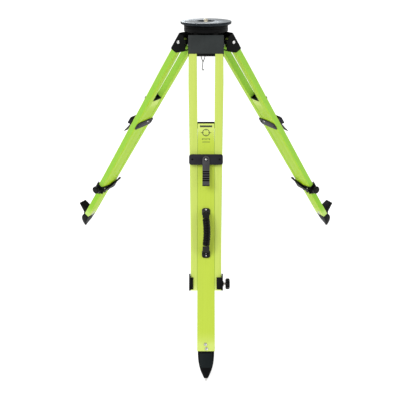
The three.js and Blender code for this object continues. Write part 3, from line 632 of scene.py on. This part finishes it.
def casing(leg):
    """The cover over the tops of the bars: rounded front corners and cheeks that slope to the head."""
    bm = bmesh.new()
    front, top = CASING_FRONT, CASING_TOP
    outline = rounded(2 * CASING_HALF, 60, 8, 6, 0, 30 - front)
    skin(bm, [[(a, b, z) for a, b in outline] for z in (-39, top)])
    cheek = [(3 - front, top), (-front, top - 3), (-front, -36), (-14, -39), (8, -39), (14, -37), (38, -12),
             (40, -5), (7, top)]
    middle = Vector((5, -5))
    for a, b in zip(cheek, cheek[1:] + cheek[:1]):
        a, b = Vector(a), Vector(b)
        away = Vector((b.y - a.y, a.x - b.x)).normalized()
        if away.dot(a - middle) < 0:
            away = -away
        cut = bmesh.ops.bisect_plane(bm, geom=[*bm.verts, *bm.edges, *bm.faces], plane_co=(0, a.x, a.y),
                                     plane_no=(0, away.x, away.y), clear_outer=True)
        rim = [e for e in cut["geom_cut"] if isinstance(e, bmesh.types.BMEdge)]
        bmesh.ops.holes_fill(bm, edges=rim)
    hollow = bmesh.new()
    inside = rounded(2 * (CASING_HALF - 1.6), 80, 6.5, 4, 0, 40 - FACE - GAP)
    skin(hollow, [[(a, b, z) for a, b in inside] for z in (-60, top - 3.5)])
    made = ease(carve(bm, hollow), 0.7, 2, 35)
    # painted light and shade: faces towards the front get the lit slate copy, the cheeks stay black
    for face in made.faces:
        face.material_index = 1 if face.normal.y < -0.45 else 0
    piece(leg.name + "_casing", made, CASING_LOOK, leg.name + "_rails", leg.place,
          [leg.name + "_hinge_casing"], 35, [CASING_LIT_FACE])

    # the sloping floor, the strips behind the bars and the dark web between them
    bm = bmesh.new()
    slope = [(14, -36.4), (35.6, -14.4), (33.6, -13.2), (14, -33.2)]
    slab(bm, slope, -61.3, 61.3, "X", 0.3, 2)
    for x in (-61.2, 33):
        brick(bm, x, x + 28.2, 13.6, 15.4, -34, 20, 1, 0.4)
    piece(leg.name + "_casing_floor", bm, CASING_LOOK, leg.name + "_rails", leg.place)
    bm = bmesh.new()
    width = half_slot(42) - 0.8
    brick(bm, -width, width, -FACE, -4, -45, -34, 2.5, 1.2)
    piece(leg.name + "_casing_web", bm, CAST, leg.name + "_rails", leg.place)


def hinge_bolt(leg):
    bm = bmesh.new()
    dome = [(0, 0), (5.8, 0), (6.1, 0.3), (6.1, 0.8), (5.4, 1.4), (4, 1.9), (2, 2.15), (0, 2.2)]
    # painted shade: a black ring round each domed bolt head stands for the head's shaded edge
    rims = bmesh.new()
    for side in (1, -1):
        at = pointing((side, 0, 0), (side * (CASING_HALF + 0.2), 0, 0))
        turn(bm, dome, 32, at)
        turn(rims, [(6.2, 0), (7.5, 0), (7.5, 0.8), (7.1, 1.2), (6.2, 1)], 32, at, loop=True)
    piece(leg.name + "_bolt_rims", rims, CAST, leg.name + "_rails", leg.place)
    turn(bm, [(0, -62), (PIN_RADIUS, -62), (PIN_RADIUS, 62), (0, 62)], 24, pointing((1, 0, 0), (0, 0, 0)))
    piece(leg.name + "_bolt", bm, ZINC, leg.name + "_rails", leg.place, [leg.name + "_hinge_bolt"])


def bar_section(slot, edge, inset):
    """A bar's section from its inner edge to its outer one, which is the more rounded."""
    x0, x1, y = slot + inset, edge - inset, FACE - inset
    points = []
    for x, sign, radius, start in ((x1, 1, OUTER_CORNER, -90), (x1, 1, OUTER_CORNER, 0),
                                   (x0, -1, INNER_CORNER, 90), (x0, -1, INNER_CORNER, 180)):
        radius -= inset
        up = 1 if start in (0, 90) else -1
        for i in range(7):
            a = math.radians(start + 15 * i)
            points.append((x - sign * radius + radius * math.cos(a),
                           up * (y - radius) + radius * math.sin(a)))
    return points


def bars(leg):
    edge = 0.8  # rounding at the ends
    for side, end in ((-1, "left"), (1, "right")):
        bm = bmesh.new()
        long = BAR_BOTTOM - BAR_TOP
        downs = [BAR_BOTTOM, BAR_BOTTOM - edge] + [BAR_BOTTOM - long * i / 44 for i in range(1, 44)]
        downs += [BAR_TOP + edge, BAR_TOP]
        rings = []
        for i, down in enumerate(downs):
            inset = edge if i in (0, len(downs) - 1) else 0.0
            section = bar_section(half_slot(down), half_width(down), inset)
            rings.append([(side * a, b, -down) for a, b in section])
        skin(bm, rings)
        piece(f"{leg.name}_bar_{end}", bm, FIBRE, leg.name + "_rails", leg.place, [f"{leg.name}_rail_{end}"],
              50)


def tube(leg):
    bm = bmesh.new()
    outer = rounded(TUBE_WIDE, TUBE_THICK, 1.4, 5)
    inner = rounded(TUBE_WIDE - 2 * TUBE_WALL, TUBE_THICK - 2 * TUBE_WALL, 0.8, 5)
    levels = [-TUBE_BOTTOM + (TUBE_BOTTOM - TUBE_TOP) * i / 24 for i in range(25)]
    rings = [[(a, b, z) for a, b in outer] for z in levels]
    rings += [[(a, b, z) for a, b in inner] for z in reversed(levels)]
    skin(bm, rings, loop=True)
    piece(leg.name + "_slide_tube", bm, TUBE_FIBRE, leg.name + "_tube", leg.place,
          [leg.name + "_sliding_tube"], 50)


def tube_top(leg):
    name = leg.name + "_tube_cap"
    piece(leg.name + "_cap", ease(from_cad(name, leg.place), 0.9, 2), CAST, leg.name + "_tube", leg.place,
          [name])
    # the floor of the cup is bare grey plastic
    bm = bmesh.new()
    slab(bm, rounded(TUBE_WIDE - 9.4, TUBE_THICK - 8.8, 2, 3), -TUBE_TOP - 2.2, -TUBE_TOP - 1, "Z", 0.4)
    piece(leg.name + "_cap_floor", bm, PANEL, leg.name + "_tube", leg.place)


def bridges(leg):
    rails, place = leg.name + "_rails", leg.place
    for which in ("outer", "inner"):
        node = f"{leg.name}_bridge_{which}"
        made = ease(from_cad(node, place), 1.3, 3)
        piece(f"{leg.name}_{which}_bridge", made, SLATE, rails, place, [node])
    inner_face = FACE + GAP + PLATE_THICK + (STAND_OFF if leg.face < 0 else 0)
    outer_face = FACE + GAP + PLATE_THICK + STAND_OFF
    screws = bmesh.new()
    screw_head(screws, (-leg.hand * 16, inner_face, 10 - BRIDGE_SCREWS), IN, 4, 2.2)
    piece(leg.name + "_inner_bridge_screw", screws, ZINC, rails, place)
    screws = bmesh.new()
    for x in (-46, 46):
        screw_head(screws, (x, inner_face, -BRIDGE_SCREWS), IN, 3.6, 1.6)
        screw_head(screws, (x, -outer_face, -BRIDGE_SCREWS), OUT, 3.2, 0.9)
    piece(leg.name + "_bridge_end_screws", screws, CAST, rails, place)


def strap(leg):
    """The tab on the outer bridge: a rounded top, then ribs where the fingers hold it."""
    near, bend, end = STRAP_NEAR, STRAP_BEND, STRAP_END
    slope = STRAP_TIP / (512 - bend)
    downs = [STRAP_TOP + drop for drop in (0, 1, 2.8, 5.8, 9.8, 14.8, 20.8, 26.8)] + [bend]
    stations = [(d, 0.0, 0.0) for d in downs]
    ribs, first, last, deep = 5, 457, 497, 2.2
    steps = 60
    for i in range(1, steps + 1):
        d = bend + (end - bend) * i / steps
        groove = 0.0
        if first < d < last:
            groove = deep * (0.5 - 0.5 * math.cos(2 * math.pi * ribs * (d - first) / (last - first))) ** 1.5
        stations.append((d, (d - bend) * slope, -groove))
    radius = STRAP_WIDE / 2  # of the rounded top
    tip = 509  # where the corners of the end begin
    edge = 0.7
    bm = bmesh.new()
    rings = []
    for d, out, lift in stations:
        half = radius
        if d < STRAP_PIVOT:
            half = math.sqrt(max(radius ** 2 - (STRAP_PIVOT - d) ** 2, 4))
        if d > tip:
            half -= 0.5 * (d - tip) ** 2 / 4
        back, front = -(near + out), -(near + out + STRAP_THICK + lift)
        rings.append([(-half, back - edge, -d), (edge - half, back, -d), (half - edge, back, -d),
                      (half, back - edge, -d), (half, front + edge, -d), (half - 1.4 * edge, front, -d),
                      (1.4 * edge - half, front, -d), (-half, front + edge, -d)])
    skin(bm, rings)
    # painted shade in the grooves: they get the darker cast material, as does the very end
    sunk = [d for d, _, lift in stations if lift < -0.9]
    for face in bm.faces:
        d = -face.calc_center_median().z
        face.material_index = 1 if d > tip + 0.5 or min(abs(d - low) for low in sunk) < 0.7 else 0
    piece(leg.name + "_pull_strap", bm, STRAP_LOOK, leg.name + "_strap", leg.place, [leg.name + "_strap"],
          42, [CAST])
    face = near + STRAP_THICK + GAP
    bm = bmesh.new()
    turn(bm, [(0, 2.1), (1.6, 2.0), (2.8, 1.6), (3.5, 0.9), (3.6, 0), (3, -0.2), (3, -8), (0, -8)], 28,
         pointing(OUT, (0, -face, -STRAP_PIVOT)))
    piece(leg.name + "_rivet", bm, ZINC, leg.name + "_rails", leg.place, [leg.name + "_strap_rivet"])
    bm = bmesh.new()
    turn(bm, [(3.8, 0.0), (5.6, 0.0), (6, 0.3), (5.6, 0.8), (4.2, 0.8), (3.8, 0.4)], 32,
         pointing(OUT, (0, -face + 0.2, -STRAP_PIVOT)), loop=True)
    piece(leg.name + "_rivet_washer", bm, CAST, leg.name + "_rails", leg.place)


def clamp(leg):
    rails, place, hand = leg.name + "_rails", leg.place, leg.hand
    node = leg.name + "_clamp_bracket"
    piece(leg.name + "_saddle", ease(from_cad(node, place), 0.8, 2), CAST, rails, place, [node])
    bm = bmesh.new()
    pin_at = (hand * LEVER_PIN[0], LEVER_PIN[1])
    turn(bm, [(0, -844.8), (2, -844.8), (2, -809.2), (0, -809.2)], 16, Matrix.Translation((*pin_at, 0)))
    for z, way in ((-845, -1), (-809, 1)):
        turn(bm, [(0, 0), (3.1, 0), (3.1, 0.5), (2.2, 1.1), (0, 1.3)], 16,
             pointing((0, 0, way), (*pin_at, z)))
    piece(leg.name + "_pin", bm, ZINC, rails, place, [leg.name + "_lever_pin"])

    bm = bmesh.new()
    stops = [(44, 22.5, 827), (20, 21.5, 827), (-8, 21.5, 820), (-30, 21.9, 804), (-41, 23, 788),
             (-46, 24.5, 774)]
    path = spline([(hand * x, y, -d) for x, y, d in stops], 8)

    def blunt(t):
        return 1.0 if t < 0.94 else math.sqrt(max(1 - ((t - 0.94) / 0.065) ** 2, 0.05))
    sweep(bm, path, rounded(4.6, 14, 2, 4), (0, 0, 1), blunt)
    turn(bm, [(0, -836), (3.6, -836), (4.2, -835.4), (4.2, -818.6), (3.6, -818), (0, -818)], 24,
         Matrix.Translation((*pin_at, 0)))
    piece(leg.name + "_lever_arm", bm, CAST, leg.name + "_lever", place, [leg.name + "_clamp_lever"],
          50)


def thumb(leg):
    place, hand = leg.place, leg.hand
    at = pointing((hand, 0, 0), (0, 0, -THUMB_DOWN))
    bm = bmesh.new()

    def lobes(r, h, a):
        return r - (1.5 * (1 + math.cos(9 * a)) / 2 if r > 14.5 else 0)
    turn(bm, [(0, 64), (6, 63.8), (8, 63.5), (13.8, 63.8), (16.5, 64.8), (17.8, 66.6), (18, 69), (18, 73),
              (17.6, 75.4), (16.1, 77.2), (13.4, 78), (5, 78), (4.4, 77.3), (0, 77.3)], 108, at,
         radius=lobes)
    piece(leg.name + "_thumb_knob", bm, GRIP, leg.name + "_thumb_screw", place, [leg.name + "_thumb_screw"],
          40)
    bm = bmesh.new()
    turn(bm, [(0, 52), (4, 52), (4, 58.4), (4.9, 58.7), (4.9, 61.3), (4, 61.6), (4, 65), (0, 65)], 28, at)
    piece(leg.name + "_thumb_shaft", bm, SHAFT, leg.name + "_thumb_screw", place)


def bezier(a, b, c, d, t):
    return a * (1 - t) ** 3 + 3 * b * t * (1 - t) ** 2 + 3 * c * t * t * (1 - t) + d * t ** 3


def shoe(leg):
    """A pointed casting: flat on one face, bulging on the other, with a pedal on the bulging side."""
    body, place, side = leg.name + "_tube", leg.place, leg.face
    top, bottom = SHOE_TOP, SHOE_BOTTOM
    curve = [i / 60 for i in range(61)]

    def along(points, down):
        """The first value of a curve where its second value is down."""
        a, b, c, d = points
        found = min(curve, key=lambda t: abs(bezier(a[1], b[1], c[1], d[1], t) - down))
        step = 1 / 60
        for _ in range(18):
            low, high = max(found - step, 0), min(found + step, 1)
            found = min((low, found, high), key=lambda t: abs(bezier(a[1], b[1], c[1], d[1], t) - down))
            step /= 2
        return bezier(a[0], b[0], c[0], d[0], found)
    width = [(26.4, top), (26.6, top + 34), (21, top + 60), (6.6, bottom)]
    bulge = [(12, top), (19, top + 14), (36, top + 52), (-1.4, bottom)]
    rings = []
    rows = 30
    for i in range(rows + 1):
        down = top + (bottom - top) * (i / rows) ** 0.9
        flat = -12 if down < top + 40 else -12 - 0.6 * (down - top - 40) / (bottom - top - 40)
        half, far = along(width, down), along(bulge, down)
        deep = (far - flat) / 2
        corner = min(3 + 9 * (i / rows), half - 0.05, deep - 0.05)
        inset = 0.7 if i == 0 else 0
        section = rounded(2 * (half - inset), 2 * (deep - inset), max(corner - inset, 0.5), 6)
        rings.append([(a, -side * (b + (far + flat) / 2), -down) for a, b in section])
        if i == 0:
            section = rounded(2 * half, 2 * deep, corner, 6)
            rings.append([(a, -side * (b + (far + flat) / 2), -down - 0.7) for a, b in section])
    bm = bmesh.new()
    skin(bm, rings)
    near = 12.3
    high = PEDAL_TOP
    pedal = [(near, high + 0.2), (64, high), (66, high + 1.5), (66, high + 6), (64, high + 7),
             (near + 13, high + 26.5), (near + 5, high + 40), (6, high + 40), (6, top + GAP),
             (near, top + GAP)]
    slab(bm, soften([(-side * o, -d) for o, d in pedal], 2.2), -PEDAL_HALF, PEDAL_HALF, "X", 1.4)
    for x in (-16.5, -8.5, 0, 8.5, 16.5):
        brick(bm, x - 1.2, x + 1.2, *sorted((-side * 22, -side * 62)), -high - 0.6, 0.6 - high, 0.3, 0.3)
    piece(leg.name + "_shoe", bm, CAST, body, place, [leg.name + "_foot_shoe"], 40)

    # the sunk panel on the flat face
    bm = bmesh.new()
    outline = [(-20.5, -1050.5), (20.5, -1050.5), (20.5, -1080), (17.5, -1095), (-17.5, -1095),
               (-20.5, -1080)]
    slab(bm, soften(outline, 2), *sorted((side * 11.2, side * 12.25)), "Y", 0.35)
    piece(leg.name + "_shoe_panel", bm, PANEL, body, place)

    bm = bmesh.new()
    turn(bm, [(0, -1136.9), (0.9, -1136.8), (1.6, -1136.2), (3.8, -1131.4), (5.5, -1127.8), (5.5, -1126.6),
              (3.4, -1126), (3.4, -1106), (0, -1106)], 28, Matrix.Translation((0, side * SPIKE_OFFSET, 0)))
    piece(leg.name + "_spike", bm, TIP, body, place, [leg.name + "_foot_spike"])

    # two screws hold the shoe's plug in the tube
    bm = bmesh.new()
    for x, down in ((-1.5, 1022.5), (1.5, 1036.2)):
        screw_head(bm, (x, side * 11.9, -down), (0, side, 0), 5.4, 3.4)
    piece(leg.name + "_shoe_screws", bm, ZINC, body, place)


def handle(leg):
    body, place = leg.name + "_tube", leg.place
    for end in ("top", "bottom"):
        node = f"{leg.name}_handle_{end}"
        piece(f"{leg.name}_handle_{end}_fitting", ease(from_cad(node, place), 1.0, 3), NECK, body, place,
              [node])
    # the bowed grip, with ribs all along it
    path = spline([(0, -42.5, -619.5), (2.25, -46.8, -641.5), (3, -48, -663.5), (2.25, -46.8, -685.5),
                   (0, -42.5, -707.5)], 40)
    ribs, radius = 17, 12.2

    def ribbed(t):
        ends = min(t, 1 - t)
        wave = 0.5 - 0.5 * math.cos(2 * math.pi * ribs * t)
        rounding = min(1.0, 0.82 + ends * 9)
        return rounding * (1 - 0.13 * wave ** 2)
    bm = bmesh.new()
    sweep(bm, path, circle(radius, 24), (0, -1, 0), ribbed)
    piece("front_grip", bm, GRIP, body, place, [leg.name + "_handle_grip"], 45)
    bm = bmesh.new()
    plate = 17.2  # the outer face of the fittings' plates
    for down, x in ((586.4, -0.5), (597.6, 0.5)):
        screw_head(bm, (x, -plate, -down), OUT, 3.6, 2.2)
    for down in (730.8, 738.6):
        screw_head(bm, (0, -plate, -down), OUT, 2.6, 1.6)
    piece("front_handle_screws", bm, ZINC, body, place)


def mark(leg):
    """A plain printed mark under the cap: a bar, a sighting circle with cross hairs, and a short rule."""
    bm = bmesh.new()
    surface, thick, centre = TUBE_THICK / 2, 0.26, 321

    def patch(outline):
        slab(bm, outline, -surface - 0.16, -surface - 0.16 + thick, "Y", 0.04, 1)
    patch(rounded(42, 6.4, 1.2, 3, 0, 22 - centre))
    edge = thick / 2
    turn(bm, [(10.2, -edge), (12.6, -edge), (12.6, edge), (10.2, edge)], 48,
         pointing(OUT, (0, edge - surface - 0.16, -centre)), loop=True)
    for x, z, wide, high in ((-13, 0, 10, 1.7), (13, 0, 10, 1.7), (0, -9.5, 1.7, 8), (0, 9.5, 1.7, 8)):
        patch(rounded(wide, high, 0.6, 2, x, z - centre))
    for i in range(7):
        long, drop = (5.4, 0) if i % 3 == 0 else (3.4, 1)
        patch(rounded(2, long, 0.5, 2, -12 + 4 * i, drop - centre - 23))
    patch(rounded(26, 1.8, 0.5, 2, 0, -centre - 33))
    piece("front_tube_mark", bm, INK, leg.name + "_tube", leg.place)


head_ring()
drum_and_lugs()
screw_arm()
fixing_screw()
plumb_hook()
for each in LEGS:
    casing(each)
    hinge_bolt(each)
    bars(each)
    tube(each)
    tube_top(each)
    bridges(each)
    strap(each)
    clamp(each)
    thumb(each)
    shoe(each)
handle(LEGS[0])
mark(LEGS[0])


# ------------------------------------------------------------------ studio
def studio():
    bm = bmesh.new()
    bmesh.ops.create_grid(bm, x_segments=8, y_segments=8, size=60)
    mesh = bpy.data.meshes.new("floor")
    bm.to_mesh(mesh)
    bm.free()
    remember(mesh)
    floor = bpy.data.objects.new("floor", mesh)
    bpy.context.scene.collection.objects.link(floor)
    floor.location = (0, 0, CAD_BOX[0].z - 0.0004)
    look = Look("pale_floor", Roughness=0.95, Specular_IOR_Level=0.05, Emission_Strength=1.7)
    tone = look.mix(look.span(look.noise(3, 3), 0.4, 0.6, 0, 0.3), (0.47, 0.47, 0.47), (0.45, 0.45, 0.45))
    mesh.materials.append(look.finish(tone, glow=tone))

    world = bpy.data.worlds.new("studio")
    bpy.context.scene.world = world
    world.use_nodes = True
    sky = world.node_tree.nodes["Background"]
    sky.inputs[0].default_value = (1, 1, 1, 1)
    sky.inputs[1].default_value = 0.5

    def light(name, kind, energy, place, aim, **settings):
        data = bpy.data.lights.new(name, kind)
        data.energy = energy
        for key, value in settings.items():
            setattr(data, key, value)
        lamp = bpy.data.objects.new(name, data)
        bpy.context.scene.collection.objects.link(lamp)
        lamp.location = place
        lamp.rotation_euler = (Vector(aim) - Vector(place)).to_track_quat("-Z", "Y").to_euler()
        return lamp
    light("key_sun", "SUN", 1.5, (-2.0, -2.4, 3.0), (0, 0, 0.4), angle=math.radians(35))
    light("fill", "AREA", 17, (2.4, -1.6, 1.5), (0, 0, 0.6), size=1.6)
    light("glare", "AREA", 40, (-1.1, 2.6, 2.6), (0, 0, 1.0), size=1.4)

    camera = bpy.data.cameras.new("camera")
    camera.lens, camera.sensor_width, camera.shift_x = 46.19, 36, -0.015
    camera.clip_end = 200
    view = bpy.data.objects.new("camera", camera)
    bpy.context.scene.collection.objects.link(view)
    view.location = AXIS + Vector((0, -1.9482, 1.2209))
    view.rotation_euler = (math.radians(90 - 25.14), 0, 0)
    bpy.context.scene.camera = view
    bpy.context.scene.view_settings.view_transform = "Standard"


studio()
